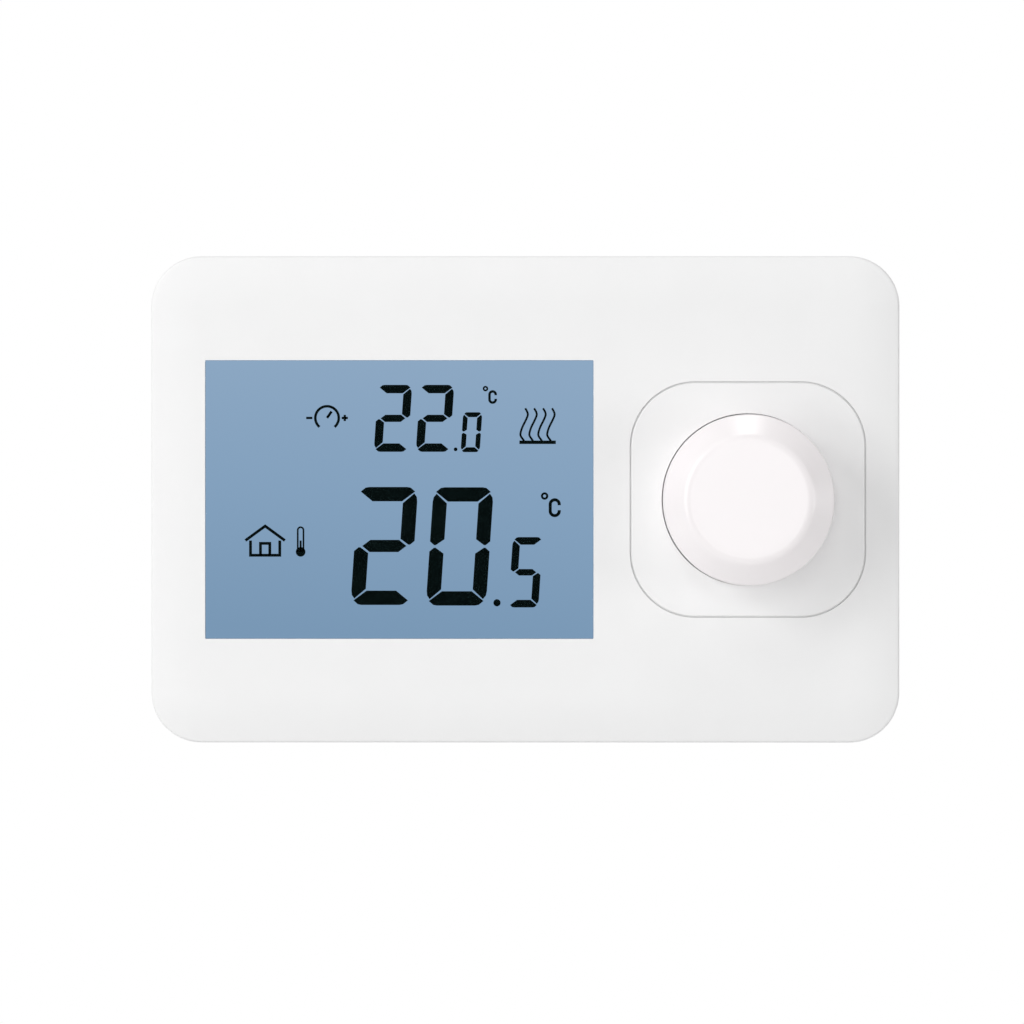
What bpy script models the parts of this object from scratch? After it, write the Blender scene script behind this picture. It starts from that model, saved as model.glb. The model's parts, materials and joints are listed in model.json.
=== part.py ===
"""Wall-mounted room heating controller with a display and one rotary push knob.

Metres, +Z up, +X to the right for someone facing it, +Y into the wall.
The origin is the centre of the wall face. "Forward" below is a distance from the
wall towards the room, which is -Y.
"""

import math

import bmesh
import bpy
from mathutils import Matrix, Vector

mm = 0.001
GAP = 0.3 * mm  # clearance between neighbouring pieces

# Case: outline, wall thickness and where its two halves meet
CASE_WIDTH = 120.0 * mm
CASE_HEIGHT = 78.0 * mm
CASE_CORNER = 8.0 * mm
CASE_FRONT = 26.0 * mm
WALL = 2.0 * mm
CROWN_WIDTH = 7.5 * mm
CROWN_DROP = 0.8 * mm
EDGE_ROUND = 0.4 * mm
PLATE_FRONT = 5.5 * mm
PLATE_INSET = 1.0 * mm
PLATE_BASE = 2.0 * mm
COVER_BACK = PLATE_FRONT + GAP
CEILING = CASE_FRONT - WALL

# Display window and the stack behind it
WINDOW_X = -20.2 * mm
WINDOW_WIDTH = 62.3 * mm
WINDOW_HEIGHT = 44.7 * mm
WINDOW_FRAME_WALL = 1.0 * mm
REBATE_MARGIN = 2.45 * mm

# Knob, its surround and its axis
KNOB_X = 35.7 * mm
KNOB_RADIUS = 13.65 * mm
KNOB_TOP_RADIUS = 9.95 * mm
KNOB_TOP = 38.5 * mm
KNOB_RIM = 35.4 * mm
KNOB_BACK = 25.2 * mm
KNOB_WALL = 1.6 * mm
PRESS_TRAVEL = 0.5 * mm
SURROUND_SIZE = 37.3 * mm
SURROUND_CORNER = 10.2 * mm
RECESS_RADIUS = 14.0 * mm
RECESS_FLOOR = 24.4 * mm

# Circuit board
BOARD_WIDTH = 110.0 * mm
BOARD_HEIGHT = 56.4 * mm
BOARD_BACK = 17.1 * mm
BOARD_FRONT = 18.7 * mm

# Rear housing and battery bay
HOUSING_BACK = 6.1 * mm
HOUSING_FRONT = 7.9 * mm
BAY_X = -27.0 * mm
BAY_LENGTH = 50.0 * mm
BAY_HEIGHT = 24.0 * mm
BAY_FRONT = 15.4 * mm
BAY_WALL = 1.2 * mm
CELL_RADIUS = 5.25 * mm
CELL_LENGTH = 44.5 * mm
CELL_FORWARD = 9.85 * mm
CELL_PITCH = 12.2 * mm

# Fixings
CASE_SCREW_X = 52.0 * mm
CASE_SCREW_Z = 32.0 * mm
BOARD_SCREW_PLACES = [(x * mm, z * mm) for x in (20.0, 51.0) for z in (24.5, -24.5)]
HOOK_X = 28.0 * mm
LOCK_FORWARD = 10.0 * mm
WALL_SLOT_X = 30.0 * mm  # two slots 60 mm apart, as on a round wall box

# Wiring: cable opening and three-way terminal block
CABLE_X, CABLE_Z = 12.0 * mm, -16.0 * mm
CABLE_WIDTH, CABLE_HEIGHT = 22.0 * mm, 14.0 * mm
TERMINAL_X, TERMINAL_Z = 36.0 * mm, -16.0 * mm
TERMINAL_PITCH = 5.08 * mm
TERMINAL_WAYS = (-1, 0, 1)

CORNER_STEPS = 8
ROUND_STEPS = 48
SMALL_STEPS = 16


# ---------------------------------------------------------------- materials


def material(name, colour, roughness, metallic=0.0, alpha=1.0):
    made = bpy.data.materials.new(name)
    made.use_nodes = True
    shader = made.node_tree.nodes["Principled BSDF"]
    shader.inputs["Base Color"].default_value = (*colour, 1.0)
    shader.inputs["Roughness"].default_value = roughness
    shader.inputs["Metallic"].default_value = metallic
    shader.inputs["Alpha"].default_value = alpha
    return made


# ---------------------------------------------------------------- outlines, as (x, z) points


def rounded_rectangle(width, height, radius, steps=CORNER_STEPS):
    points = []
    for quarter, (side_x, side_z) in enumerate(((1, 1), (-1, 1), (-1, -1), (1, -1))):
        centre_x = side_x * (width / 2 - radius)
        centre_z = side_z * (height / 2 - radius)
        for i in range(steps + 1):
            angle = (quarter + i / steps) * math.pi / 2
            x = centre_x + radius * math.cos(angle)
            z = centre_z + radius * math.sin(angle)
            points.append((x, z))
    return points


def rectangle(width, height):
    x, z = width / 2, height / 2
    return [(x, z), (-x, z), (-x, -z), (x, -z)]


def circle(radius, steps=SMALL_STEPS):
    turns = [2 * math.pi * i / steps for i in range(steps)]
    return [(radius * math.cos(a), radius * math.sin(a)) for a in turns]


def d_shape(radius, flat, steps=ROUND_STEPS // 2):
    """A circle cut off at z = flat."""
    start = math.asin(flat / radius)
    sweep = math.pi + 2 * start
    turns = [math.pi - start + sweep * i / steps for i in range(steps + 1)]
    return [(radius * math.cos(a), radius * math.sin(a)) for a in turns]


def case_outline(inset, steps=CORNER_STEPS):
    radius = CASE_CORNER - inset
    return rounded_rectangle(CASE_WIDTH - 2 * inset, CASE_HEIGHT - 2 * inset, radius, steps)


# ---------------------------------------------------------------- solids, as bmeshes


def loft(sections):
    """A closed shape through (outline, forward) sections, capped at both ends."""
    shape = bmesh.new()
    rings = [[shape.verts.new((x, -forward, z)) for x, z in outline] for outline, forward in sections]
    for ring, following in zip(rings, rings[1:]):
        for i in range(len(ring)):
            j = (i + 1) % len(ring)
            shape.faces.new((ring[i], ring[j], following[j], following[i]))
    shape.faces.new(rings[0])
    shape.faces.new(rings[-1])
    bmesh.ops.recalc_face_normals(shape, faces=shape.faces)
    return shape


def prism(outline, back, front):
    return loft([(outline, back), (outline, front)])


def turned(profile, steps=ROUND_STEPS, ring=False):
    """A solid turned about the forward axis; profile holds (radius, forward) points.

    A profile that starts and ends on the axis is closed by it, and a ring's profile is a loop.
    """
    shape = bmesh.new()
    corners = [shape.verts.new((radius, -forward, 0)) for radius, forward in profile]
    pairs = list(zip(corners, corners[1:]))
    if ring:
        pairs.append((corners[-1], corners[0]))
    edges = [shape.edges.new(pair) for pair in pairs]
    bmesh.ops.spin(
        shape,
        geom=corners + edges,
        cent=(0, 0, 0),
        axis=(0, 1, 0),
        angle=2 * math.pi,
        steps=steps,
        use_merge=True,
    )
    bmesh.ops.remove_doubles(shape, verts=shape.verts, dist=1e-6)
    bmesh.ops.recalc_face_normals(shape, faces=shape.faces)
    return shape


def moved(shape, x=0.0, forward=0.0, z=0.0):
    bmesh.ops.translate(shape, verts=shape.verts, vec=Vector((x, -forward, z)))
    return shape


def along_z(shape):
    """Turns a shape made along the forward axis so that forward becomes +Z."""
    bmesh.ops.rotate(shape, verts=shape.verts, cent=(0, 0, 0), matrix=Matrix.Rotation(-math.pi / 2, 3, "X"))
    return shape


def together(shapes):
    """Several separate shapes in one bmesh, for a cutter or a group of posts."""
    whole = bmesh.new()
    for shape in shapes:
        mesh = bpy.data.meshes.new("shape")
        shape.to_mesh(mesh)
        shape.free()
        whole.from_mesh(mesh)
        bpy.data.meshes.remove(mesh)
    return whole


def block(width, height, back, front, x=0.0, z=0.0):
    return moved(prism(rectangle(width, height), back, front), x, 0.0, z)


def post(radius, back, front, x=0.0, z=0.0, steps=SMALL_STEPS):
    return moved(prism(circle(radius, steps), back, front), x, 0.0, z)


# ---------------------------------------------------------------- objects


def add(name, shape, finish, parent=None, place=(0.0, 0.0, 0.0)):
    mesh = bpy.data.meshes.new(name)
    shape.to_mesh(mesh)
    shape.free()
    mesh.materials.append(finish)
    mesh.shade_smooth()
    mesh.set_sharp_from_angle(angle=math.radians(30))
    return placed(name, mesh, parent, place)


def placed(name, mesh, parent=None, place=(0.0, 0.0, 0.0)):
    """place is (x, forward, z) from the parent."""
    made = bpy.data.objects.new(name, mesh)
    made.location = (place[0], -place[1], place[2])
    made.parent = parent
    bpy.context.scene.collection.objects.link(made)
    return made


def change(piece, operation, shape):
    """Adds a Boolean with a hidden tool object to piece, in the piece's own space."""
    tool = add(f"{piece.name}_{operation.lower()}_{len(piece.modifiers)}", shape, NO_FINISH, piece)
    tool.hide_render = True
    tool.display_type = "WIRE"
    modifier = piece.modifiers.new(operation.title(), "BOOLEAN")
    modifier.operation = operation
    modifier.solver = "EXACT"
    modifier.object = tool


def screw_mesh(name, head_radius, head_height, shank_radius, length):
    """A pan-head screw with a cross recess, head at forward 0 and shank going forward."""
    cone = 1.2 * mm
    profile = [
        (0, -head_height),
        (head_radius * 0.8, -head_height),
        (head_radius, -head_height * 0.5),
        (head_radius, 0),
        (shank_radius, 0),
        (shank_radius, length - cone),
        (shank_radius * 0.3, length),
        (0, length),
    ]
    made = add(name, turned(profile, SMALL_STEPS), STEEL)
    slot_width, slot_depth = head_radius * 0.3, head_height * 0.5
    slot_length = head_radius * 1.2
    floor = slot_depth - head_height
    top = -head_height - 1 * mm
    change(made, "DIFFERENCE", block(slot_length, slot_width, top, floor))
    change(made, "DIFFERENCE", block(slot_width, slot_length, top, floor))
    bpy.context.view_layer.update()
    graph = bpy.context.evaluated_depsgraph_get()
    mesh = bpy.data.meshes.new_from_object(made.evaluated_get(graph))
    for used in [modifier.object for modifier in made.modifiers] + [made]:
        bpy.data.objects.remove(used)
    return mesh


# ---------------------------------------------------------------- wall plate


def build_wall_plate(root):
    inset, rim = PLATE_INSET, PLATE_INSET + 1.8 * mm
    chamfer = 0.4 * mm
    plate = add(
        "wall_plate",
        loft(
            [
                (case_outline(inset + chamfer), 0),
                (case_outline(inset), chamfer),
                (case_outline(inset), PLATE_FRONT),
                (case_outline(rim), PLATE_FRONT),
                (case_outline(rim), PLATE_BASE),
            ]
        ),
        WHITE_CASE,
        root,
    )
    sunk = 0.5 * mm
    hook_width, stem_z, stem_height = 6.0 * mm, 31.8 * mm, 1.6 * mm
    lip_back, lip_front, lip_height = HOUSING_FRONT + 0.5 * mm, HOUSING_FRONT + 1.9 * mm, 3.4 * mm
    lip_z = stem_z - stem_height / 2 + lip_height / 2
    hooks = []
    for side in (-1, 1):
        hooks.append(block(hook_width, stem_height, PLATE_BASE - sunk, lip_front, side * HOOK_X, stem_z))
    change(plate, "UNION", together(hooks))
    lips = [block(hook_width, lip_height, lip_back, lip_front, side * HOOK_X, lip_z) for side in (-1, 1)]
    change(plate, "UNION", together(lips))
    lug_width, lug_height, lug_front = 10.0 * mm, 3.0 * mm, 13.0 * mm
    lug_z = -32.3 * mm
    change(plate, "UNION", block(lug_width, lug_height, PLATE_BASE - sunk, lug_front, 0, lug_z))
    through = 2 * PLATE_BASE
    slot_width, slot_length = 5.0 * mm, 9.0 * mm
    holes = [moved(prism(rectangle(CABLE_WIDTH, CABLE_HEIGHT), -through, through), CABLE_X, 0, CABLE_Z)]
    for side in (-1, 1):
        slot = rounded_rectangle(slot_length, slot_width, slot_width / 2 - 0.01 * mm, 4)
        holes.append(moved(prism(slot, -through, through), side * WALL_SLOT_X))
    change(plate, "DIFFERENCE", together(holes))
    screw_hole = along_z(prism(circle(1.55 * mm), -4 * mm, 4 * mm))
    change(plate, "DIFFERENCE", moved(screw_hole, 0, LOCK_FORWARD, lug_z))


def build_terminals(root):
    back, front = PLATE_BASE + GAP, 10.3 * mm
    width, height = 20.0 * mm, 10.0 * mm
    screw_z, blade_z = -2.2 * mm, 2.5 * mm
    place = (TERMINAL_X, 0, TERMINAL_Z)
    body = add("terminal_block", block(width, height, back, front), GREEN_PLASTIC, root, place)
    well_floor, shank_floor = 6.4 * mm, 6.0 * mm
    well_radius, shank_radius, entry_radius = 2.1 * mm, 1.4 * mm, 1.4 * mm
    entry_forward = 4.5 * mm
    wells, shanks, entries, slits = [], [], [], []
    for way in TERMINAL_WAYS:
        x = way * TERMINAL_PITCH
        wells.append(post(well_radius, well_floor, front + mm, x, screw_z))
        shanks.append(post(shank_radius, entry_forward, well_floor + mm, x, screw_z, 12))
        entry = along_z(prism(circle(entry_radius, 12), -4 * mm, 4 * mm))
        entries.append(moved(entry, x, entry_forward, screw_z - 3 * mm))
        slits.append(block(1.6 * mm, 1.6 * mm, shank_floor, front + mm, x, blade_z))
    for cuts in (wells, shanks, entries, slits):
        change(body, "DIFFERENCE", together(cuts))
    screw = screw_mesh("terminal_screw", 1.7 * mm, 1.3 * mm, 1.0 * mm, 0.8 * mm + GAP)
    turned_round = Matrix.Rotation(math.pi, 4, "Z")
    blade = bpy.data.meshes.new("contact_blade")
    shape = block(0.9 * mm, 0.9 * mm, shank_floor + GAP, 14.8 * mm)
    shape.to_mesh(blade)
    shape.free()
    blade.materials.append(BRASS)
    screw.transform(turned_round)
    for number, way in enumerate(TERMINAL_WAYS, 1):
        x = TERMINAL_X + way * TERMINAL_PITCH
        head_seat = well_floor + GAP
        placed(f"terminal_screw_{number}", screw, root, (x, head_seat, TERMINAL_Z + screw_z))
        placed(f"contact_blade_{number}", blade, root, (x, 0, TERMINAL_Z + blade_z))


# ---------------------------------------------------------------- rear housing and batteries


def build_rear_housing(root):
    inset = WALL + GAP
    housing = add("rear_housing", prism(case_outline(inset), HOUSING_BACK, HOUSING_FRONT), WHITE_CASE, root)
    bay_outer = BAY_FRONT + BAY_WALL
    overlap = 0.5 * mm
    length, height = BAY_LENGTH + 2 * BAY_WALL, BAY_HEIGHT + 2 * BAY_WALL
    change(housing, "UNION", block(length, height, HOUSING_FRONT - overlap, bay_outer, BAY_X))
    change(housing, "DIFFERENCE", block(BAY_LENGTH, BAY_HEIGHT, HOUSING_BACK - mm, BAY_FRONT, BAY_X))
    back, front = HOUSING_BACK - mm, HOUSING_FRONT + mm
    cuts = [block(21.4 * mm, 11.4 * mm, back, front, TERMINAL_X, TERMINAL_Z)]
    hook_slot_width, hook_slot_height, hook_slot_z = 6.8 * mm, 4.6 * mm, 30.6 * mm
    for side in (-1, 1):
        cuts.append(block(hook_slot_width, hook_slot_height, back, front, side * HOOK_X, hook_slot_z))
    lug_notch_width, lug_notch_height, lug_notch_z = 10.8 * mm, 12.0 * mm, -34.6 * mm
    cuts.append(block(lug_notch_width, lug_notch_height, back, front, 0, lug_notch_z))
    screw_clearance = 1.4 * mm
    for x in (-CASE_SCREW_X, CASE_SCREW_X):
        for z in (-CASE_SCREW_Z, CASE_SCREW_Z):
            cuts.append(post(screw_clearance, back, front, x, z))
    change(housing, "DIFFERENCE", together(cuts))


def cell_mesh():
    """A size AAA cell lying along +X, contact nub at the +X end, centred on its length."""
    half, nub_radius, nub, soft = CELL_LENGTH / 2, 1.9 * mm, 1.0 * mm, 0.5 * mm
    profile = [
        (0, -half),
        (CELL_RADIUS - soft, -half),
        (CELL_RADIUS, soft - half),
        (CELL_RADIUS, half - nub - soft),
        (CELL_RADIUS - soft, half - nub),
        (nub_radius, half - nub),
        (nub_radius, half),
        (0, half),
    ]
    shape = turned(profile, 20)
    bmesh.ops.rotate(shape, verts=shape.verts, cent=(0, 0, 0), matrix=Matrix.Rotation(math.pi / 2, 3, "Z"))
    mesh = bpy.data.meshes.new("cell")
    shape.to_mesh(mesh)
    shape.free()
    mesh.materials.append(CELL_WRAP)
    return mesh


def coil_spring(name, root, place, narrow_side):
    """A conical contact spring along X; its narrow end is at narrow_side, -1 or 1."""
    turns, points_a_turn, length = 2.5, 12, 2.9 * mm
    wide, narrow, wire = 3.4 * mm, 2.0 * mm, 0.25 * mm
    count = int(turns * points_a_turn) + 1
    curve = bpy.data.curves.new(name, "CURVE")
    curve.dimensions = "3D"
    curve.bevel_depth = wire
    curve.bevel_resolution = 1
    curve.use_fill_caps = True
    curve.materials.append(STEEL)
    spline = curve.splines.new("POLY")
    spline.points.add(count - 1)
    for i, point in enumerate(spline.points):
        share = i / (count - 1)
        angle = 2 * math.pi * turns * share
        radius = wide + (narrow - wide) * share
        x = narrow_side * (share - 0.5) * (length - 2 * wire)
        point.co = (x, radius * math.cos(angle), radius * math.sin(angle), 1)
    placed(name, curve, root, place)


def build_batteries(root):
    mesh = cell_mesh()
    upper, lower = CELL_PITCH / 2, -CELL_PITCH / 2
    left, right = BAY_X - BAY_LENGTH / 2, BAY_X + BAY_LENGTH / 2
    sheet = 0.4 * mm
    nub_gap = GAP + sheet + GAP
    first = placed("battery_1", mesh, root, (left + nub_gap + CELL_LENGTH / 2, CELL_FORWARD, upper))
    first.rotation_euler = (0, 0, math.pi)
    placed("battery_2", mesh, root, (right - nub_gap - CELL_LENGTH / 2, CELL_FORWARD, lower))
    spring_room = BAY_LENGTH - CELL_LENGTH - nub_gap - sheet - GAP
    spring_off = GAP + sheet + spring_room / 2
    coil_spring("battery_spring_1", root, (right - spring_off, CELL_FORWARD, upper), -1)
    coil_spring("battery_spring_2", root, (left + spring_off, CELL_FORWARD, lower), 1)
    contact_size = 9.0 * mm
    back, front = CELL_FORWARD - contact_size / 2, CELL_FORWARD + contact_size / 2
    bridge_height = CELL_PITCH + contact_size
    sheet_x = GAP + sheet / 2
    add("battery_bridge", block(sheet, bridge_height, back, front), STEEL, root, (left + sheet_x, 0, 0))
    for number, z in enumerate((upper, lower), 1):
        contact = block(sheet, contact_size, back, front)
        add(f"battery_contact_{number}", contact, STEEL, root, (right - sheet_x, 0, z))


# ---------------------------------------------------------------- front cover and what fills it


def crown_sections(rows=6):
    """The pillowed border of the front: a parabola that meets the flat face tangentially."""
    sections = []
    for i in range(rows + 1):
        share = i / rows
        inset = EDGE_ROUND + (CROWN_WIDTH - EDGE_ROUND) * share
        forward = CASE_FRONT - CROWN_DROP * (1 - share) ** 2
        sections.append((case_outline(inset), forward))
    return sections


def cover_shape():
    shoulder = CASE_FRONT - CROWN_DROP - 1.5 * EDGE_ROUND
    rim_chamfer, inner_slope = 0.3 * mm, 2.0 * mm
    outside = [
        (case_outline(rim_chamfer), COVER_BACK),
        (case_outline(0), COVER_BACK + rim_chamfer),
        (case_outline(0), shoulder),
        (case_outline(EDGE_ROUND * 0.3), shoulder + EDGE_ROUND * 0.9),
    ] + crown_sections()
    inside = [
        (case_outline(WALL + inner_slope), CEILING),
        (case_outline(WALL), CEILING - inner_slope),
        (case_outline(WALL), COVER_BACK),
    ]
    return loft(inside + outside)


def vent_slots():
    width, back, front, reach = 1.6 * mm, 12.0 * mm, 20.0 * mm, 6.0 * mm
    pitch = 4.0 * mm
    top = [i * pitch for i in range(-6, 7)]
    bottom = [side * i * pitch for side in (-1, 1) for i in range(3, 10)]
    wall_z = CASE_HEIGHT / 2
    slots = [block(width, reach, back, front, x, wall_z) for x in top]
    return slots + [block(width, reach, back, front, x, -wall_z) for x in bottom]


def build_front_cover(root):
    cover = add("front_cover", cover_shape(), WHITE_CASE, root)
    root_in = CEILING + GAP
    case_post, board_post = 3.1 * mm, 2.6 * mm
    posts, bores = [], []
    for x in (-CASE_SCREW_X, CASE_SCREW_X):
        for z in (-CASE_SCREW_Z, CASE_SCREW_Z):
            posts.append(post(case_post, HOUSING_FRONT + GAP, root_in, x, z))
            bores.append(post(1.3 * mm, HOUSING_FRONT, 17.0 * mm, x, z, 12))
    for x, z in BOARD_SCREW_PLACES:
        posts.append(post(board_post, BOARD_FRONT + GAP, root_in, x, z))
        bores.append(post(1.1 * mm, BOARD_FRONT, 23.5 * mm, x, z, 12))
    change(cover, "UNION", together(posts))
    change(cover, "DIFFERENCE", together(bores))
    pad_radius, pad_top = 4.2 * mm, -36.0 * mm
    wall_bottom = -CASE_HEIGHT / 2
    pad = along_z(prism(circle(pad_radius), wall_bottom + mm, pad_top))
    change(cover, "UNION", moved(pad, 0, LOCK_FORWARD))
    seat_radius, seat_top, hole_radius = 2.9 * mm, -37.2 * mm, 1.6 * mm
    seat = along_z(prism(circle(seat_radius), wall_bottom - mm, seat_top))
    change(cover, "DIFFERENCE", moved(seat, 0, LOCK_FORWARD))
    hole = along_z(prism(circle(hole_radius), wall_bottom - mm, pad_top + mm))
    change(cover, "DIFFERENCE", moved(hole, 0, LOCK_FORWARD))
    past = CASE_FRONT + mm
    window = rounded_rectangle(WINDOW_WIDTH, WINDOW_HEIGHT, 0.3 * mm, 2)
    change(cover, "DIFFERENCE", moved(prism(window, CEILING - mm, past), WINDOW_X))
    rebate_width, rebate_height = WINDOW_WIDTH + 2 * REBATE_MARGIN, WINDOW_HEIGHT + 2 * REBATE_MARGIN
    rebate_front = CASE_FRONT - WINDOW_FRAME_WALL
    change(cover, "DIFFERENCE", block(rebate_width, rebate_height, CEILING - mm, rebate_front, WINDOW_X))
    opening = rounded_rectangle(SURROUND_SIZE + 2 * GAP, SURROUND_SIZE + 2 * GAP, SURROUND_CORNER + GAP)
    change(cover, "DIFFERENCE", moved(prism(opening, CEILING - mm, past), KNOB_X))
    change(cover, "DIFFERENCE", together(vent_slots()))


def build_knob_surround(root):
    flange_back, flange_front, flange_size = 22.6 * mm, 23.7 * mm, 40.4 * mm
    soft = 0.15 * mm
    flange = rounded_rectangle(flange_size, flange_size, SURROUND_CORNER + 1.5 * mm)
    face = rounded_rectangle(SURROUND_SIZE, SURROUND_SIZE, SURROUND_CORNER)
    inner_size = SURROUND_SIZE - 2 * soft
    inner_face = rounded_rectangle(inner_size, inner_size, SURROUND_CORNER - soft)
    sections = [
        (flange, flange_back),
        (flange, flange_front),
        (face, flange_front),
        (face, CASE_FRONT - soft),
        (inner_face, CASE_FRONT),
    ]
    surround = add("knob_surround", loft(sections), WHITE_CASE, root, (KNOB_X, 0, 0))
    encoder_hole = 9.2 * mm
    change(surround, "DIFFERENCE", post(RECESS_RADIUS, RECESS_FLOOR, CASE_FRONT + mm, steps=ROUND_STEPS))
    change(surround, "DIFFERENCE", post(encoder_hole, flange_back - mm, CASE_FRONT, steps=24))


# ---------------------------------------------------------------- display


def build_display(root):
    flange_back, flange_front, lens_front = CEILING, 24.7 * mm, 25.9 * mm
    flange_margin = REBATE_MARGIN - GAP
    body = (WINDOW_WIDTH - 2 * GAP, WINDOW_HEIGHT - 2 * GAP)
    flange = (WINDOW_WIDTH + 2 * flange_margin, WINDOW_HEIGHT + 2 * flange_margin)
    sections = [
        (rectangle(*flange), flange_back),
        (rectangle(*flange), flange_front),
        (rectangle(*body), flange_front),
        (rectangle(*body), lens_front),
    ]
    add("display_lens", loft(sections), CLEAR, root, (WINDOW_X, 0, 0))
    glass_z, glass_width, glass_height = 0.8 * mm, 66.6 * mm, 50.0 * mm
    glass_back, glass_front = 21.8 * mm, 23.7 * mm
    glass = block(glass_width, glass_height, glass_back, glass_front)
    add("lcd_glass", glass, DISPLAY_BLUE, root, (WINDOW_X, 0, glass_z))
    frame_wall = 1.7 * mm
    outer = (glass_width + 2 * GAP + 2 * frame_wall, glass_height + 2 * GAP + 2 * frame_wall)
    stack_back = BOARD_FRONT + GAP
    frame = add(
        "lcd_frame",
        block(*outer, stack_back, glass_front - GAP),
        WHITE_CASE,
        root,
        (WINDOW_X, 0, glass_z),
    )
    recess = (glass_width + 2 * GAP, glass_height + 2 * GAP)
    change(frame, "DIFFERENCE", block(*recess, stack_back - mm, glass_front))
    guide_width, guide_height, guide_z = 60.0 * mm, 44.0 * mm, -1.6 * mm
    stack_front = glass_back - GAP
    guide = block(guide_width, guide_height, stack_back, stack_front)
    add("backlight_guide", guide, MILKY, root, (WINDOW_X, 0, guide_z))
    led_width, led_height, led_front = 2.0 * mm, 3.0 * mm, stack_back + 1.8 * mm
    led_x = guide_width / 2 + GAP + led_width / 2
    for name, side in (("left", -1), ("right", 1)):
        led = block(led_width, led_height, stack_back, led_front)
        add(f"backlight_led_{name}", led, MILKY, root, (WINDOW_X + side * led_x, 0, guide_z))
    strip_length, strip_width, strip_z = 60.0 * mm, 2.2 * mm, 23.6 * mm
    strip = block(strip_length, strip_width, stack_back, stack_front)
    add("zebra_connector", strip, RUBBER, root, (WINDOW_X, 0, strip_z))


# ---------------------------------------------------------------- circuit board


def build_board(root):
    board = add("main_board", block(BOARD_WIDTH, BOARD_HEIGHT, BOARD_BACK, BOARD_FRONT), BOARD_GREEN, root)
    hole = 1.3 * mm
    change(
        board,
        "DIFFERENCE",
        together([post(hole, BOARD_BACK - mm, BOARD_FRONT + mm, x, z, 12) for x, z in BOARD_SCREW_PLACES]),
    )
    seat = BOARD_BACK - GAP
    relay = block(19.0 * mm, 15.4 * mm, seat - 8.4 * mm, seat)
    add("relay", relay, RELAY_BLUE, root, (42.0 * mm, 0, 13.8 * mm))
    socket = add(
        "board_socket",
        block(20.0 * mm, 8.0 * mm, 12.3 * mm, seat),
        DARK_PLASTIC,
        root,
        (TERMINAL_X, 0, TERMINAL_Z + 2.5 * mm),
    )
    sockets = [
        block(1.7 * mm, 1.7 * mm, 11.0 * mm, 15.6 * mm, way * TERMINAL_PITCH) for way in TERMINAL_WAYS
    ]
    change(socket, "DIFFERENCE", together(sockets))
    chip = block(10.0 * mm, 10.0 * mm, seat - 1.4 * mm, seat)
    add("controller_chip", chip, DARK_PLASTIC, root, (14.0 * mm, 0, 0))
    crystal = block(8.0 * mm, 3.4 * mm, seat - 3.2 * mm, seat)
    add("clock_crystal", crystal, STEEL, root, (14.0 * mm, 0, -12.0 * mm))
    can_radius, can_height = 3.15 * mm, 7.4 * mm
    can = [
        (0, seat - can_height),
        (can_radius - 0.4 * mm, seat - can_height),
        (can_radius, seat - can_height + 0.4 * mm),
        (can_radius, seat),
        (0, seat),
    ]
    add("capacitor", turned(can, 20), DARK_PLASTIC, root, (18.0 * mm, 0, 14.0 * mm))
    build_sensor(root)


def build_sensor(root):
    """Thermistor bead on two leads, hanging below the board's edge by the lower vents."""
    bead, lead, spread, reach = 1.2 * mm, 0.3 * mm, 1.2 * mm, 4.0 * mm
    steps = 8
    arc = [math.pi * i / steps for i in range(steps + 1)]
    ball = turned([(bead * math.sin(a), bead * -math.cos(a)) for a in arc], 12)
    place = (24.0 * mm, (BOARD_BACK + BOARD_FRONT) / 2, -33.0 * mm)
    sensor = add("temperature_sensor", ball, DARK_PLASTIC, root, place)
    leads = [moved(along_z(prism(circle(lead, 8), 0, reach)), side * spread / 2) for side in (-1, 1)]
    change(sensor, "UNION", together(leads))


# ---------------------------------------------------------------- encoder and knob


def build_encoder(root):
    """The fixed half of the rotary encoder: body, threaded bush and the push switch's dome."""
    size, back, front = 12.4 * mm, BOARD_FRONT + GAP, 24.6 * mm
    floor, lid_back = 19.6 * mm, 23.8 * mm
    body = add("encoder_body", block(size, size, back, front), DARK_PLASTIC, root, (KNOB_X, 0, 0))
    change(body, "DIFFERENCE", post(5.2 * mm, floor, lid_back, steps=24))
    change(body, "DIFFERENCE", post(3.4 * mm, lid_back - mm, front + mm, steps=24))
    flange_size, flange_back, flange_front = 12.0 * mm, front + GAP, 25.5 * mm
    top, outer, bore = 28.0 * mm, 4.5 * mm, 3.3 * mm
    flange = block(flange_size, flange_size, flange_back, flange_front)
    bush = add("encoder_bush", flange, STEEL, root, (KNOB_X, 0, 0))
    change(bush, "UNION", post(outer, flange_back + 0.2 * mm, top, steps=24))
    change(bush, "DIFFERENCE", post(bore, flange_back - mm, top + mm, steps=24))
    dome_radius, dome_height, sheet = 2.4 * mm, 0.5 * mm, 0.25 * mm
    low = floor + GAP
    profile = [
        (0, low + dome_height),
        (dome_radius * 0.5, low + dome_height * 0.9),
        (dome_radius, low + sheet),
        (dome_radius, low),
        (dome_radius * 0.5, low + dome_height * 0.4),
        (0, low + dome_height - sheet),
    ]
    add("switch_dome", turned(profile, SMALL_STEPS), STEEL, root, (KNOB_X, 0, 0))


def build_plunger(axis):
    """Moves straight back when the knob is pressed; does not turn."""
    disc_back, disc_front, disc_radius = 21.2 * mm, 21.7 * mm, 2.6 * mm
    pip_back, pip_radius = 20.95 * mm, 0.8 * mm
    profile = [
        (0, pip_back),
        (pip_radius, pip_back),
        (pip_radius, disc_back),
        (disc_radius, disc_back),
        (disc_radius, disc_front),
        (0, disc_front),
    ]
    add("switch_plunger", turned(profile, SMALL_STEPS), WHITE_CASE, axis)


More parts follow.
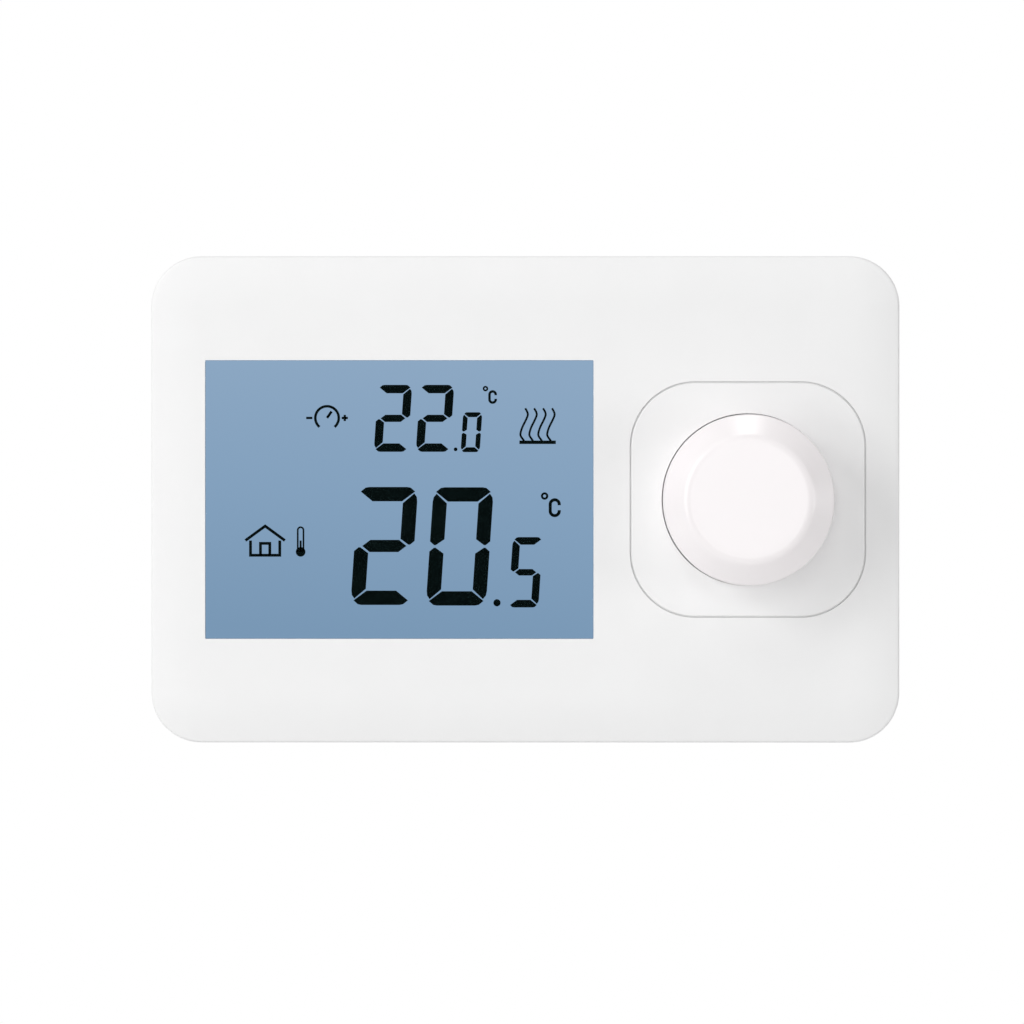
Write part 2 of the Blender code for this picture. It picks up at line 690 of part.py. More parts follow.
def build_rotor(axis):
    """Contact wheel that turns with the shaft and lets it slide through a square hole."""
    back, front, radius, hole = 22.4 * mm, 23.4 * mm, 4.8 * mm, 3.0 * mm
    rotor = add("encoder_rotor", prism(circle(radius, 24), back, front), BRASS, axis)
    change(rotor, "DIFFERENCE", block(hole, hole, back - mm, front + mm))


def build_shaft(axis):
    neck, neck_back, neck_front, front = 2.4 * mm, 22.0 * mm, 24.1 * mm, 36.4 * mm
    radius, flat, flat_back = 3.0 * mm, 1.5 * mm, 28.4 * mm
    shaft = add("encoder_shaft", prism(circle(radius, 24), neck_front, front), STEEL, axis)
    overlap = 0.5 * mm
    change(shaft, "UNION", block(neck, neck, neck_back, neck_front + overlap))
    cut_height = 2 * radius
    cut_z = flat + cut_height / 2
    change(shaft, "DIFFERENCE", block(cut_height, cut_height, flat_back, front + mm, 0, cut_z))


def arc_points(centre, radius, start, end, steps):
    """Points on an arc in (radius, forward), angles in degrees from the outward direction."""
    turns = [math.radians(start + (end - start) * i / steps) for i in range(steps + 1)]
    return [(centre[0] + radius * math.cos(a), centre[1] + radius * math.sin(a)) for a in turns]


def knob_profile():
    """Half section of the knob's shell, from its underside out and over to the crown."""
    slope = math.degrees(math.atan2(KNOB_RADIUS - KNOB_TOP_RADIUS, KNOB_TOP - KNOB_RIM))
    rim_round, top_round = 0.8 * mm, 2.2 * mm
    top_centre = (KNOB_TOP_RADIUS - top_round * math.tan(math.radians(45 - slope / 2)), KNOB_TOP - top_round)
    rim_centre = (KNOB_RADIUS - rim_round, KNOB_RIM - rim_round * math.tan(math.radians(slope / 2)))
    rim = arc_points(rim_centre, rim_round, 0, slope, 3)
    top = arc_points(top_centre, top_round, slope, 90, 6)
    inner_radius, inner_top = KNOB_RADIUS - KNOB_WALL, KNOB_TOP - KNOB_WALL
    inner_rim = KNOB_RIM - 0.6 * mm
    inner_top_radius = KNOB_TOP_RADIUS - 1.2 * mm
    foot = 0.3 * mm
    inside = [
        (0, inner_top),
        (inner_top_radius, inner_top),
        (inner_radius, inner_rim),
        (inner_radius, KNOB_BACK),
    ]
    outside = [(KNOB_RADIUS - foot, KNOB_BACK), (KNOB_RADIUS, KNOB_BACK + foot)]
    return inside + outside + rim + top + [(0, KNOB_TOP)]


def build_knob(axis):
    knob = add("knob", turned(knob_profile()), WHITE_KNOB, axis)
    boss_radius, boss_back, boss_root = 5.4 * mm, 28.8 * mm, 37.2 * mm
    change(knob, "UNION", post(boss_radius, boss_back, boss_root, steps=24))
    ribs = []
    rib_start, rib_length, rib_width = 7.0 * mm, 4.0 * mm, 1.0 * mm
    rib_back, rib_root = 32.0 * mm, 37.0 * mm
    rib_middle = rib_start + rib_length / 2
    for side in (-1, 1):
        ribs.append(block(rib_length, rib_width, rib_back, rib_root, side * rib_middle, 0))
        ribs.append(block(rib_width, rib_length, rib_back, rib_root, 0, side * rib_middle))
    change(knob, "UNION", together(ribs))
    bore, flat, bore_top = 3.3 * mm, 1.8 * mm, 36.75 * mm
    change(knob, "DIFFERENCE", prism(d_shape(bore, flat), boss_back - mm, bore_top))
    clip_inner, clip_outer, clip_back, clip_front = 5.7 * mm, 6.3 * mm, 29.2 * mm, 31.8 * mm
    section = [
        (clip_inner, clip_back),
        (clip_outer, clip_back),
        (clip_outer, clip_front),
        (clip_inner, clip_front),
    ]
    clip = add("knob_clip", turned(section, 24, ring=True), STEEL, axis)
    slit, reach = 1.2 * mm, 8.0 * mm
    change(clip, "DIFFERENCE", block(slit, reach, clip_back - mm, clip_front + mm, 0, reach / 2))


# ---------------------------------------------------------------- screws


def build_screws(root):
    case_screw = screw_mesh("case_screw", 2.5 * mm, 1.5 * mm, 1.0 * mm, 10.0 * mm)
    number = 1
    for x in (-CASE_SCREW_X, CASE_SCREW_X):
        for z in (-CASE_SCREW_Z, CASE_SCREW_Z):
            placed(f"case_screw_{number}", case_screw, root, (x, HOUSING_BACK - GAP, z))
            number += 1
    board_screw = screw_mesh("board_screw", 2.1 * mm, 1.2 * mm, 0.8 * mm, 6.0 * mm)
    for number, (x, z) in enumerate(BOARD_SCREW_PLACES, 1):
        placed(f"board_screw_{number}", board_screw, root, (x, BOARD_BACK - GAP, z))
    locking_screw = screw_mesh("locking_screw", 2.5 * mm, 1.3 * mm, 1.25 * mm, 7.0 * mm)
    head_seat = -37.5 * mm
    lock = placed("locking_screw", locking_screw, root, (0, LOCK_FORWARD, head_seat))
    lock.rotation_euler = (-math.pi / 2, 0, 0)


# ---------------------------------------------------------------- assembly


def empty(name, place=(0.0, 0.0, 0.0), parent=None):
    made = bpy.data.objects.new(name, None)
    made.location = (place[0], -place[1], place[2])
    made.parent = parent
    made.empty_display_size = 10 * mm
    bpy.context.scene.collection.objects.link(made)
    return made


for leftover in list(bpy.data.objects):
    bpy.data.objects.remove(leftover)

NO_FINISH = material("tool", (0.5, 0.5, 0.5), 1.0)
WHITE_CASE = material("white_case", (0.87, 0.87, 0.87), 0.55)
WHITE_KNOB = material("white_knob", (0.90, 0.88, 0.87), 0.35)
DISPLAY_BLUE = material("display_blue", (0.23, 0.35, 0.52), 0.30)
CLEAR = material("clear_lens", (0.95, 0.95, 0.95), 0.05, alpha=0.35)
MILKY = material("milky_plastic", (0.92, 0.94, 0.96), 0.40)
STEEL = material("steel", (0.62, 0.62, 0.62), 0.35, 1.0)
BRASS = material("brass", (0.78, 0.60, 0.30), 0.35, 1.0)
BOARD_GREEN = material("board_green", (0.03, 0.22, 0.10), 0.45)
GREEN_PLASTIC = material("terminal_green", (0.05, 0.38, 0.16), 0.50)
DARK_PLASTIC = material("dark_plastic", (0.04, 0.04, 0.045), 0.50)
RELAY_BLUE = material("relay_blue", (0.08, 0.16, 0.42), 0.45)
CELL_WRAP = material("cell_wrap", (0.18, 0.42, 0.30), 0.35)
RUBBER = material("rubber", (0.20, 0.20, 0.21), 0.80)

controller = empty("room_controller")
build_wall_plate(controller)
build_terminals(controller)
build_rear_housing(controller)
build_batteries(controller)
build_front_cover(controller)
build_knob_surround(controller)
build_display(controller)
build_board(controller)
build_encoder(controller)
build_screws(controller)

press_axis = empty("press_axis", (KNOB_X, 0, 0), controller)
build_plunger(press_axis)
turn_axis = empty("turn_axis", parent=press_axis)
build_shaft(turn_axis)
build_knob(turn_axis)
rotor_axis = empty("rotor_axis", (KNOB_X, 0, 0), controller)
build_rotor(rotor_axis)
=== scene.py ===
"""Looks for the wall-mounted room heating controller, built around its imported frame.

Metres, +X right, +Z up, the front faces -Y. "Forward" is the distance from the wall towards
the room, so a point's Y is minus its forward. All positions are the part's own.
"""

import json
import math

import bmesh
import bpy
from mathutils import Matrix, Vector


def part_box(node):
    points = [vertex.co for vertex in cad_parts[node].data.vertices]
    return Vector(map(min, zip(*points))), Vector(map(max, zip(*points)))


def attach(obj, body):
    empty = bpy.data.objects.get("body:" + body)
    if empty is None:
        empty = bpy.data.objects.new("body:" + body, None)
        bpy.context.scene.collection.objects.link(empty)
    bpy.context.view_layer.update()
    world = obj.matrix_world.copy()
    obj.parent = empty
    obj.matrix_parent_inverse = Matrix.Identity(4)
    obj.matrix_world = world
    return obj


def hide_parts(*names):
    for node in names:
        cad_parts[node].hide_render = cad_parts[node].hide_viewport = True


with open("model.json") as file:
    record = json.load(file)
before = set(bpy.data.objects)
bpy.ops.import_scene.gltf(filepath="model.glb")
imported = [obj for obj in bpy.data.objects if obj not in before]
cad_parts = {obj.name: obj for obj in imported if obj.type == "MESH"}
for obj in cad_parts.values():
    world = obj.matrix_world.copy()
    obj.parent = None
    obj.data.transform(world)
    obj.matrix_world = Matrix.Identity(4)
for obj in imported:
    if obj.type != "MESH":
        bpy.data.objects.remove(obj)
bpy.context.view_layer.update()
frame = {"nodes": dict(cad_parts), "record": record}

mm = 0.001
ROOT = "controller"

# ---------------------------------------------------------------- dimensions shared by several pieces

CASE_WIDTH, CASE_HEIGHT, CASE_CORNER = 120.0 * mm, 78.0 * mm, 8.0 * mm
CASE_FRONT, WALL = 26.0 * mm, 2.0 * mm
GAP = 0.3 * mm
CEILING = CASE_FRONT - WALL
COVER_BACK = 5.8 * mm
HOUSING_FRONT, BOARD_FRONT = 7.9 * mm, 18.7 * mm
CROWN_WIDTH, CROWN_DROP = 7.5 * mm, 0.8 * mm
EDGE_RADIUS, EDGE_BREAK = 0.5 * mm, 0.09 * mm
WINDOW_X, WINDOW_WIDTH, WINDOW_HEIGHT = -20.2 * mm, 62.3 * mm, 44.7 * mm
KNOB_X = 35.7 * mm
SURROUND_SIZE, SURROUND_CORNER = 37.36 * mm, 10.25 * mm
GROOVE, GROOVE_DEPTH = 0.25 * mm, 0.35 * mm
RECESS_RADIUS, RECESS_FLOOR = 13.8 * mm, 24.4 * mm


# ---------------------------------------------------------------- outlines and solids


def rounded_rectangle(width, height, radius, steps=24):
    points = []
    for quarter, (side_x, side_z) in enumerate(((1, 1), (-1, 1), (-1, -1), (1, -1))):
        centre_x = side_x * (width / 2 - radius)
        centre_z = side_z * (height / 2 - radius)
        for i in range(steps + 1):
            angle = (quarter + i / steps) * math.pi / 2
            points.append((centre_x + radius * math.cos(angle), centre_z + radius * math.sin(angle)))
    return points


def circle(radius, steps=48):
    turns = [2 * math.pi * i / steps for i in range(steps)]
    return [(radius * math.cos(a), radius * math.sin(a)) for a in turns]


def rectangle(width, height):
    x, z = width / 2, height / 2
    return [(x, z), (-x, z), (-x, -z), (x, -z)]


def case_outline(inset):
    return rounded_rectangle(CASE_WIDTH - 2 * inset, CASE_HEIGHT - 2 * inset, CASE_CORNER - inset)


def loft(sections):
    """A closed shape through (outline, forward) sections, capped at both ends."""
    shape = bmesh.new()
    rings = [[shape.verts.new((x, -forward, z)) for x, z in outline] for outline, forward in sections]
    for ring, following in zip(rings, rings[1:]):
        for i in range(len(ring)):
            j = (i + 1) % len(ring)
            shape.faces.new((ring[i], ring[j], following[j], following[i]))
    shape.faces.new(rings[0])
    shape.faces.new(rings[-1])
    bmesh.ops.recalc_face_normals(shape, faces=shape.faces)
    return shape


def prism(outline, back, front):
    return loft([(outline, back), (outline, front)])


def turned(profile, steps, x=0.0):
    """A closed solid from a (radius, forward) profile that starts and ends on the axis."""
    shape = bmesh.new()
    rings = []
    for radius, forward in profile:
        if radius == 0:
            rings.append([shape.verts.new((0, -forward, 0))])
        else:
            rings.append([shape.verts.new((px, -forward, pz)) for px, pz in circle(radius, steps)])
    for ring, following in zip(rings, rings[1:]):
        for i in range(steps):
            j = (i + 1) % steps
            corners = []
            for vert in (ring[i % len(ring)], ring[j % len(ring)], following[j % len(following)]):
                if vert not in corners:
                    corners.append(vert)
            last = following[i % len(following)]
            if last not in corners:
                corners.append(last)
            if len(corners) > 2:
                shape.faces.new(corners)
    bmesh.ops.recalc_face_normals(shape, faces=shape.faces)
    return moved(shape, x)


def moved(shape, x=0.0, forward=0.0, z=0.0):
    bmesh.ops.translate(shape, verts=shape.verts, vec=Vector((x, -forward, z)))
    return shape


def along_z(shape):
    """Turns a shape that was made along forward so that forward becomes up."""
    turn = Matrix.Rotation(-math.pi / 2, 3, "X")
    bmesh.ops.rotate(shape, verts=shape.verts, cent=(0, 0, 0), matrix=turn)
    return shape


def together(shapes):
    whole = bmesh.new()
    for shape in shapes:
        mesh = bpy.data.meshes.new("shape")
        shape.to_mesh(mesh)
        shape.free()
        whole.from_mesh(mesh)
        bpy.data.meshes.remove(mesh)
    return whole


def arc_points(centre, radius, start, end, steps):
    """Points on an arc in (radius, forward), angles in degrees from the outward direction."""
    turns = [math.radians(start + (end - start) * i / steps) for i in range(steps + 1)]
    return [(centre[0] + radius * math.cos(a), centre[1] + radius * math.sin(a)) for a in turns]


# ---------------------------------------------------------------- pieces


def add(name, shape, finish, smooth_angle=35):
    mesh = bpy.data.meshes.new(name)
    shape.to_mesh(mesh)
    shape.free()
    mesh.materials.append(finish)
    mesh.shade_smooth()
    mesh.set_sharp_from_angle(angle=math.radians(smooth_angle))
    made = bpy.data.objects.new(name, mesh)
    bpy.context.scene.collection.objects.link(made)
    return made


def change(piece, operation, shape):
    """Applies a Boolean to piece at once."""
    tool = add("tool", shape, piece.data.materials[0])
    modifier = piece.modifiers.new(operation.title(), "BOOLEAN")
    modifier.operation = operation
    modifier.solver = "EXACT"
    modifier.object = tool
    apply_modifiers(piece)
    bpy.data.objects.remove(tool)


def apply_modifiers(piece):
    bpy.context.view_layer.update()
    graph = bpy.context.evaluated_depsgraph_get()
    mesh = bpy.data.meshes.new_from_object(piece.evaluated_get(graph))
    old = piece.data
    piece.modifiers.clear()
    piece.data = mesh
    mesh.name = piece.name
    bpy.data.meshes.remove(old)


def soften(piece, width, segments=2, angle=50):
    """Rounds the sharp edges and keeps flat faces flat in the shading."""
    bevel = piece.modifiers.new("Bevel", "BEVEL")
    bevel.width = width
    bevel.segments = segments
    bevel.limit_method = "ANGLE"
    bevel.angle_limit = math.radians(angle)
    bevel.harden_normals = False
    weighted = piece.modifiers.new("Weighted", "WEIGHTED_NORMAL")
    weighted.keep_sharp = True
    apply_modifiers(piece)


# ---------------------------------------------------------------- materials


def principled(name, colour, roughness, **values):
    """A new material, its Principled shader and its node tree."""
    made = bpy.data.materials.new(name)
    made.use_nodes = True
    shader = made.node_tree.nodes["Principled BSDF"]
    shader.inputs["Base Color"].default_value = (*colour, 1.0)
    shader.inputs["Roughness"].default_value = roughness
    for socket, value in values.items():
        shader.inputs[socket.replace("_", " ")].default_value = value
    return made, shader, made.node_tree


def noise(tree, size, detail=2.0, stretch=(1, 1, 1)):
    """A noise texture in the piece's own space, with features of that size in metres."""
    place = tree.nodes.new("ShaderNodeTexCoord")
    mapping = tree.nodes.new("ShaderNodeMapping")
    mapping.inputs["Scale"].default_value = stretch
    texture = tree.nodes.new("ShaderNodeTexNoise")
    texture.inputs["Scale"].default_value = 1 / size
    texture.inputs["Detail"].default_value = detail
    tree.links.new(place.outputs["Object"], mapping.inputs["Vector"])
    tree.links.new(mapping.outputs["Vector"], texture.inputs["Vector"])
    return texture


def spread(tree, texture, low, high):
    """Maps a texture's grey value onto low..high."""
    ramp = tree.nodes.new("ShaderNodeMapRange")
    ramp.inputs["From Min"].default_value = 0.3
    ramp.inputs["From Max"].default_value = 0.7
    ramp.inputs["To Min"].default_value = low
    ramp.inputs["To Max"].default_value = high
    tree.links.new(texture.outputs["Fac"], ramp.inputs["Value"])
    return ramp.outputs["Result"]


def tint(tree, shader, texture, dark, light):
    """Base colour that wanders between two close colours."""
    mix = tree.nodes.new("ShaderNodeMix")
    mix.data_type = "RGBA"
    mix.inputs["A"].default_value = (*dark, 1)
    mix.inputs["B"].default_value = (*light, 1)
    tree.links.new(spread(tree, texture, 0, 1), mix.inputs["Factor"])
    tree.links.new(mix.outputs["Result"], shader.inputs["Base Color"])


def bump(tree, shader, texture, height):
    node = tree.nodes.new("ShaderNodeBump")
    node.inputs["Strength"].default_value = 1.0
    node.inputs["Distance"].default_value = height
    tree.links.new(texture.outputs["Fac"], node.inputs["Height"])
    tree.links.new(node.outputs["Normal"], shader.inputs["Normal"])


def moulded(name, colour, roughness, grain, height, vary=0.02, **values):
    """Moulded plastic: spark-eroded grain, slight unevenness of colour and of gloss."""
    made, shader, tree = principled(name, colour, roughness, **values)
    cloud = noise(tree, 9 * mm, 3)
    dark = [c * (1 - vary) for c in colour]
    light = [min(1.0, c * (1 + vary * 0.5)) for c in colour]
    tint(tree, shader, cloud, dark, light)
    fine = noise(tree, grain, 3)
    tree.links.new(spread(tree, fine, roughness * 0.92, roughness * 1.08), shader.inputs["Roughness"])
    bump(tree, shader, fine, height)
    return made


def metal(name, colour, roughness, brushed=(1, 1, 12)):
    made, shader, tree = principled(name, colour, roughness, Metallic=1.0)
    lines = noise(tree, 0.8 * mm, 3, brushed)
    tint(tree, shader, lines, [c * 0.9 for c in colour], colour)
    tree.links.new(spread(tree, lines, roughness * 0.8, roughness * 1.25), shader.inputs["Roughness"])
    bump(tree, shader, lines, 0.004 * mm)
    return made


def laminate(name):
    """Solder-masked board: dark green with the paler shapes of buried tracks."""
    made, shader, tree = principled(name, (0.02, 0.16, 0.07), 0.4)
    cells = tree.nodes.new("ShaderNodeTexVoronoi")
    cells.feature = "DISTANCE_TO_EDGE"
    cells.distance = "EUCLIDEAN"
    cells.inputs["Scale"].default_value = 1 / (3.5 * mm)
    place = tree.nodes.new("ShaderNodeTexCoord")
    tree.links.new(place.outputs["Object"], cells.inputs["Vector"])
    edge = tree.nodes.new("ShaderNodeMapRange")
    edge.inputs["From Min"].default_value = 0.05
    edge.inputs["From Max"].default_value = 0.09
    tree.links.new(cells.outputs["Distance"], edge.inputs["Value"])
    mix = tree.nodes.new("ShaderNodeMix")
    mix.data_type = "RGBA"
    mix.inputs["A"].default_value = (0.05, 0.27, 0.12, 1)
    mix.inputs["B"].default_value = (0.02, 0.16, 0.07, 1)
    tree.links.new(edge.outputs["Result"], mix.inputs["Factor"])
    tree.links.new(mix.outputs["Result"], shader.inputs["Base Color"])
    return made


def striped(name):
    """Conductive rubber strip: fine black and grey layers across its length."""
    made, shader, tree = principled(name, (0.1, 0.1, 0.1), 0.7)
    wave = tree.nodes.new("ShaderNodeTexWave")
    wave.inputs["Scale"].default_value = 1 / (2.0 * mm)
    place = tree.nodes.new("ShaderNodeTexCoord")
    tree.links.new(place.outputs["Object"], wave.inputs["Vector"])
    tint(tree, shader, wave, (0.03, 0.03, 0.03), (0.3, 0.3, 0.31))
    return made


def foil(name):
    """Foil-wrapped cell: green with a metallic sheen that varies along it."""
    made, shader, tree = principled(name, (0.1, 0.3, 0.2), 0.3, Metallic=0.4)
    grain = noise(tree, 1.5 * mm, 2)
    tint(tree, shader, grain, (0.08, 0.26, 0.17), (0.11, 0.33, 0.22))
    tree.links.new(spread(tree, grain, 0.26, 0.34), shader.inputs["Roughness"])
    return made


def display_glow(name):
    """The back-lit panel: light comes through it, a little brighter towards the top and right."""
    made, shader, tree = principled(name, (0.0, 0.0, 0.0), 0.4, Specular_IOR_Level=0.0)
    place = tree.nodes.new("ShaderNodeTexCoord")
    split = tree.nodes.new("ShaderNodeSeparateXYZ")
    tree.links.new(place.outputs["Object"], split.inputs["Vector"])
    up = tree.nodes.new("ShaderNodeMapRange")
    up.inputs["From Min"].default_value = -WINDOW_HEIGHT / 2
    up.inputs["From Max"].default_value = WINDOW_HEIGHT / 2
    tree.links.new(split.outputs["Z"], up.inputs["Value"])
    across = tree.nodes.new("ShaderNodeMapRange")
    across.inputs["From Min"].default_value = WINDOW_X - WINDOW_WIDTH / 2
    across.inputs["From Max"].default_value = WINDOW_X + WINDOW_WIDTH / 2
    across.inputs["To Min"].default_value = -0.06
    across.inputs["To Max"].default_value = 0.06
    tree.links.new(split.outputs["X"], across.inputs["Value"])
    total = tree.nodes.new("ShaderNodeMath")
    tree.links.new(up.outputs["Result"], total.inputs[0])
    tree.links.new(across.outputs["Result"], total.inputs[1])
    ramp = tree.nodes.new("ShaderNodeValToRGB")
    stops = ramp.color_ramp.elements
    stops[0].position, stops[0].color = 0.0, (*GLOW_BOTTOM, 1)
    stops[1].position, stops[1].color = 1.0, (*GLOW_TOP, 1)
    middle = stops.new(0.5)
    middle.color = (*GLOW_MIDDLE, 1)
    tree.links.new(total.outputs["Value"], ramp.inputs["Fac"])
    tree.links.new(ramp.outputs["Color"], shader.inputs["Emission Color"])
    shader.inputs["Emission Strength"].default_value = 1.0
    return made


def display_ink(name):
    """Liquid-crystal segments: almost black, with faint unevenness."""
    made, shader, tree = principled(name, (0.0, 0.0, 0.0), 0.6, Specular_IOR_Level=0.0)
    tint(tree, shader, noise(tree, 2.5 * mm, 2), (0.0038, 0.008, 0.008), (0.005, 0.0102, 0.0102))
    return made


def window(name):
    """Clear window: nearly unseen from the front, glossier the more it is seen from the side."""
    made, shader, tree = principled(name, (0.01, 0.012, 0.014), 0.06, IOR=2.2)
    slant = tree.nodes.new("ShaderNodeLayerWeight")
    alpha = tree.nodes.new("ShaderNodeMapRange")
    alpha.inputs["From Min"].default_value = 0.02
    alpha.inputs["To Min"].default_value = 0.0
    alpha.inputs["To Max"].default_value = 0.7
    tree.links.new(slant.outputs["Facing"], alpha.inputs["Value"])
    tree.links.new(alpha.outputs["Result"], shader.inputs["Alpha"])
    smear = noise(tree, 14 * mm, 2)
    tree.links.new(spread(tree, smear, 0.04, 0.09), shader.inputs["Roughness"])
    return made


GLOW_BOTTOM = (0.192, 0.313, 0.464)
GLOW_MIDDLE = (0.229, 0.356, 0.514)
GLOW_TOP = (0.265, 0.390, 0.545)

CASE_WHITE = moulded("case_white", (0.905, 0.905, 0.905), 0.55, 0.35 * mm, 0.006 * mm, 0.008)
PLATE_WHITE = moulded("plate_white", (0.82, 0.82, 0.815), 0.55, 0.4 * mm, 0.01 * mm, 0.015)
KNOB_WHITE = moulded("knob_white", (0.965, 0.928, 0.936), 0.3, 0.5 * mm, 0.001 * mm, 0.006)
INK = display_ink("display_ink")
GLOW = display_glow("display_glow")
LENS = window("display_window")
METAL = metal("plated_steel", (0.62, 0.61, 0.6), 0.32)
BRASS = metal("brass_stamping", (0.76, 0.58, 0.28), 0.3)
BOARD = laminate("solder_mask")
TERMINAL = moulded("terminal_green", (0.05, 0.36, 0.15), 0.45, 0.3 * mm, 0.004 * mm, 0.06)
DARK = moulded("dark_moulding", (0.035, 0.035, 0.04), 0.5, 0.3 * mm, 0.006 * mm, 0.15)
RELAY = moulded("relay_housing", (0.07, 0.15, 0.4), 0.35, 0.4 * mm, 0.002 * mm, 0.06)
MILKY = moulded("milky_guide", (0.9, 0.93, 0.96), 0.35, 0.6 * mm, 0.002 * mm, 0.02)
CELL = foil("cell_wrap")
ZEBRA = striped("zebra_rubber")

SLOT_MATERIALS = {
    "white_case": PLATE_WHITE,
    "white_knob": KNOB_WHITE,
    "display_blue": GLOW,
    "clear_lens": LENS,
    "milky_plastic": MILKY,
    "steel": METAL,
    "brass": BRASS,
    "board_green": BOARD,
    "terminal_green": TERMINAL,
    "dark_plastic": DARK,
    "relay_blue": RELAY,
    "cell_wrap": CELL,
    "rubber": ZEBRA,
}

for entry in frame["record"]["subparts"]:
    node = frame["nodes"][entry["node"]]
    for place in node.material_slots:
        place.material = SLOT_MATERIALS[entry["material_slot"]]


# ---------------------------------------------------------------- case


def cover_sections():
    """Outside of the cover from its rear rim forward: wall, rounded edge, pillowed border."""
    slope = math.atan2(2 * CROWN_DROP, CROWN_WIDTH - 0.4 * mm)
    turn = math.degrees(math.pi / 2 - slope)
    crown_start = CASE_FRONT - CROWN_DROP
    centre = crown_start - EDGE_RADIUS * math.sin(math.radians(turn))
    edge = [math.radians(turn * i / 8) for i in range(9)]
    edge_insets = [EDGE_RADIUS * (1 - math.cos(a)) for a in edge]
    sections = [(case_outline(0.3 * mm), COVER_BACK), (case_outline(0), COVER_BACK + 0.3 * mm)]
    for inset, angle in zip(edge_insets, edge):
        sections.append((case_outline(inset), centre + EDGE_RADIUS * math.sin(angle)))
    rows = 20
    start = edge_insets[-1]
    for i in range(1, rows + 1):
        share = i / rows
        forward = CASE_FRONT - CROWN_DROP * (1 - share) ** 2
        sections.append((case_outline(start + (CROWN_WIDTH - start) * share), forward))
    return sections


def build_cover():
    inner_slope = 2.0 * mm
    inside = [
        (case_outline(WALL + inner_slope), CEILING),
        (case_outline(WALL), CEILING - inner_slope),
        (case_outline(WALL), COVER_BACK),
    ]
    cover = add("case_cover", loft(inside + cover_sections()), CASE_WHITE, 40)
    posts, bores = [], []
    # places across, height, post radius, bore radius, foot, bore end
    case_posts = ((-52 * mm, 52 * mm), 32 * mm, 3.1 * mm, 1.3 * mm, HOUSING_FRONT, 17 * mm)
    board_posts = ((20 * mm, 51 * mm), 24.5 * mm, 2.6 * mm, 1.1 * mm, BOARD_FRONT, 23.5 * mm)
    for places, height, post_radius, bore_radius, foot, bore_end in (case_posts, board_posts):
        for x in places:
            for z in (-height, height):
                post = prism(circle(post_radius, 24), foot + GAP, CEILING + GAP)
                posts.append(moved(post, x, 0, z))
                bores.append(moved(prism(circle(bore_radius, 16), foot, bore_end), x, 0, z))
    change(cover, "UNION", together(posts))
    change(cover, "DIFFERENCE", together(bores))
    past = CASE_FRONT + mm
    opening = rounded_rectangle(WINDOW_WIDTH, WINDOW_HEIGHT, 0.14 * mm, 4)
    change(cover, "DIFFERENCE", moved(prism(opening, CEILING - mm, past), WINDOW_X))
    margin = 4.9 * mm
    rebate = prism(rectangle(WINDOW_WIDTH + margin, WINDOW_HEIGHT + margin), CEILING - mm, CASE_FRONT - mm)
    change(cover, "DIFFERENCE", moved(rebate, WINDOW_X))
    size = SURROUND_SIZE + 2 * GROOVE
    opening = rounded_rectangle(size, size, SURROUND_CORNER + GROOVE, 32)
    change(cover, "DIFFERENCE", moved(prism(opening, CEILING - mm, past), KNOB_X))
    pitch = 4 * mm
    slots = [vent_slot(i * pitch, 1) for i in range(-6, 7)]
    for i in range(3, 10):
        slots += [vent_slot(i * pitch, -1), vent_slot(-i * pitch, -1)]
    change(cover, "DIFFERENCE", together(slots))
    bottom, screw_forward = -CASE_HEIGHT / 2, 10 * mm
    # the locking screw's pad, the seat of its head and its hole
    for operation, radius, low, high in (
        ("UNION", 4.2 * mm, bottom + mm, -36 * mm),
        ("DIFFERENCE", 2.9 * mm, bottom - mm, -37.2 * mm),
        ("DIFFERENCE", 1.6 * mm, bottom - mm, -35 * mm),
    ):
        change(cover, operation, moved(along_z(prism(circle(radius), low, high)), 0, screw_forward))
    soften(cover, EDGE_BREAK)
    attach(cover, ROOT)
    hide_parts("front_cover")


def vent_slot(x, side):
    """A cutter with round ends through the upper or lower wall."""
    width, length, end_radius, middle = 1.6 * mm, 8.0 * mm, 0.78 * mm, 16 * mm
    reach = CASE_HEIGHT / 2
    outline = rounded_rectangle(width, length, end_radius, 6)
    shape = along_z(prism(outline, reach - 3 * mm, reach + mm))
    if side < 0:
        turn = Matrix.Rotation(math.pi, 3, "Y")
        bmesh.ops.rotate(shape, verts=shape.verts, cent=(0, 0, 0), matrix=turn)
    return moved(shape, x, middle)


def build_surround():
    """The plate round the knob: a flange behind the cover, the groove's floor, then the face."""
    flange_size, flange_corner = 40.4 * mm, 11.7 * mm
    flange_back, flange_front = 22.6 * mm, 23.7 * mm
    flange = rounded_rectangle(flange_size, flange_size, flange_corner, 32)
    face = rounded_rectangle(SURROUND_SIZE, SURROUND_SIZE, SURROUND_CORNER, 32)
    lip_size = SURROUND_SIZE + 2 * GROOVE - 0.04 * mm
    lip = rounded_rectangle(lip_size, lip_size, SURROUND_CORNER + GROOVE, 32)
    groove_floor = CASE_FRONT - GROOVE_DEPTH
    sections = [(flange, flange_back), (flange, flange_front), (lip, flange_front), (lip, groove_floor)]
    sections += [(face, groove_floor), (face, CASE_FRONT)]
    surround = add("knob_surround_plate", moved(loft(sections), KNOB_X), CASE_WHITE)
    recess = moved(prism(circle(RECESS_RADIUS, 128), RECESS_FLOOR, CASE_FRONT + mm), KNOB_X)
    change(surround, "DIFFERENCE", recess)
    shaft_hole = moved(prism(circle(9.2 * mm, 64), flange_back - mm, CASE_FRONT), KNOB_X)
    change(surround, "DIFFERENCE", shaft_hole)
    soften(surround, EDGE_BREAK)
    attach(surround, ROOT)
    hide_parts("knob_surround")


